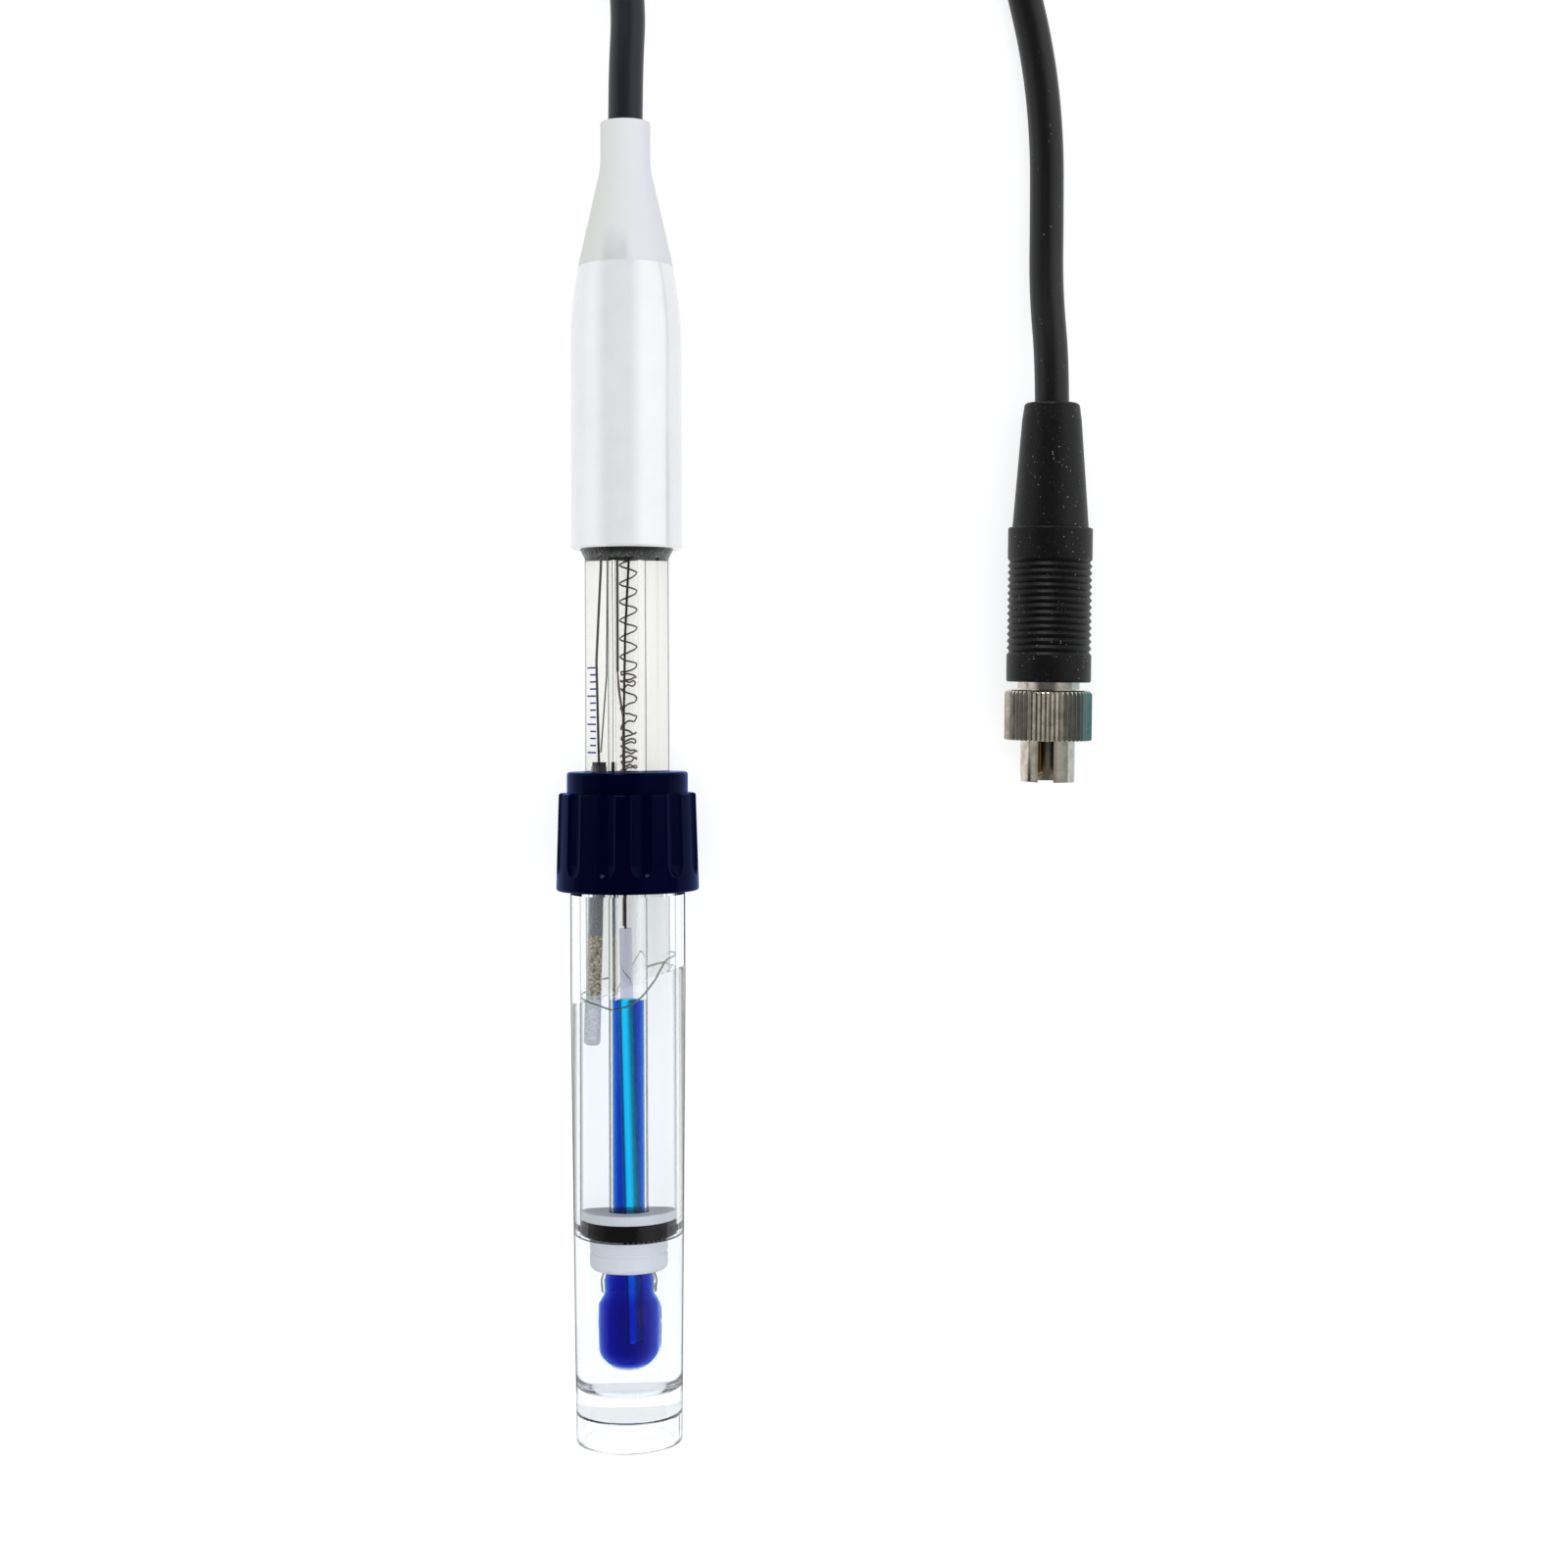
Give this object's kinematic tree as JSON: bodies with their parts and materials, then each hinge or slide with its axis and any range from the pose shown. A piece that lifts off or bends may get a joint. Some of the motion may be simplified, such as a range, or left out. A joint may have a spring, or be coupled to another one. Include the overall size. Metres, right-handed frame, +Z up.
{
  "type": "ph electrode",
  "caption": "Glass combination pH electrode lying in its clear storage vial with a fluted cap, with its cable and a screw-locking plug.",
  "frame": {"origin": "on the surface it lies on, under the middle of the electrode and vial, cable and plug apart", "axes": "+Y along the electrode towards its cable, +X towards the plug, +Z up"},
  "size_m": [0.0952, 0.2971, 0.0204],
  "materials": {
    "head_white": "glossy moulded plastic",
    "boot_white": "translucent flexible plastic",
    "dark_resin": "cured resin",
    "glass": "clear laboratory glass",
    "clear_gel": "clear gel",
    "blue_gel": "blue buffer gel",
    "white_ptfe": "porous white plastic",
    "black_rubber": "soft black rubber",
    "silver": "drawn silver",
    "tarnished_silver": "dark chlorided silver",
    "black_lead": "black lead insulation",
    "brown_lead": "red-brown enamel",
    "grey_packing": "grey fibre packing",
    "tan_granules": "salt granules",
    "cotton": "wet cotton",
    "navy": "glossy moulded plastic",
    "clear_plastic": "clear moulded plastic",
    "cable_black": "smooth black cable jacket",
    "plug_black": "matt black moulded rubber",
    "nickel": "nickel plate",
    "gold": "gold plate",
    "insulator": "dark moulded plastic"
  },
  "bodies": {
    "root": {"head_cap": "head_white", "potting": "dark_resin", "cable_boot": "boot_white", "head_seal": "dark_resin", "shaft_tube": "glass", "stem_tube": "glass", "membrane_bulb": "glass", "blue_gel": "blue_gel", "inner_rod": "glass", "lead_coil": "tarnished_silver", "lead_sleeve": "black_lead", "centre_lead": "black_lead", "sensor_leads": "brown_lead", "reference_gel": "clear_gel", "cartridge_tube": "glass", "cartridge_seal": "black_rubber", "cartridge_packing": "grey_packing", "cartridge_granules": "tan_granules", "cartridge_plug": "cotton", "reference_lead": "black_lead", "silver_wire": "silver", "upper_junction_ring": "white_ptfe", "junction_o_ring": "black_rubber", "lower_junction_ring": "white_ptfe", "plug_boot": "plug_black", "plug_shell": "plug_black", "plug_body": "nickel", "contact_sleeve": "nickel", "contact_insulator": "insulator", "contact_pins": "gold", "cable_lead": "cable_black", "cable_tail": "cable_black", "cable_coil": "cable_black"},
    "storage_vial": {"storage_vial": "clear_plastic", "storage_solution": "clear_gel", "vial_washer": "white_ptfe"},
    "cap_seal": {"cap_seal_ring": "black_rubber"},
    "storage_cap": {"storage_cap": "navy"},
    "coupling_nut": {"coupling_nut": "nickel"}
  },
  "joints": [
    {"name": "vial_slide", "type": "slide", "parent": "root", "child": "storage_vial", "axis": [0, -0.9996, 0.0284], "range_m": [0, 0.1]},
    {"name": "cap_lift", "type": "slide", "parent": "storage_vial", "child": "cap_seal", "axis": [0, 0.9996, -0.0284], "range_m": [0, 0.006]},
    {"name": "cap_turn", "type": "hinge", "parent": "cap_seal", "child": "storage_cap", "pos_m": [0, -0.00744, 0.00996], "axis": [0, 0.9996, -0.0284], "range_deg": [0, 720]},
    {"name": "nut_turn", "type": "hinge", "parent": "root", "child": "coupling_nut", "pos_m": [0.0606, 0.0082, 0.00628], "axis": [0.0192, 0.9998, -0.0065], "continuous": true}
  ],
  "couplings": [
    {"joint": "cap_lift", "follows": "cap_turn", "m_per_rad": 0.000477}
  ]
}
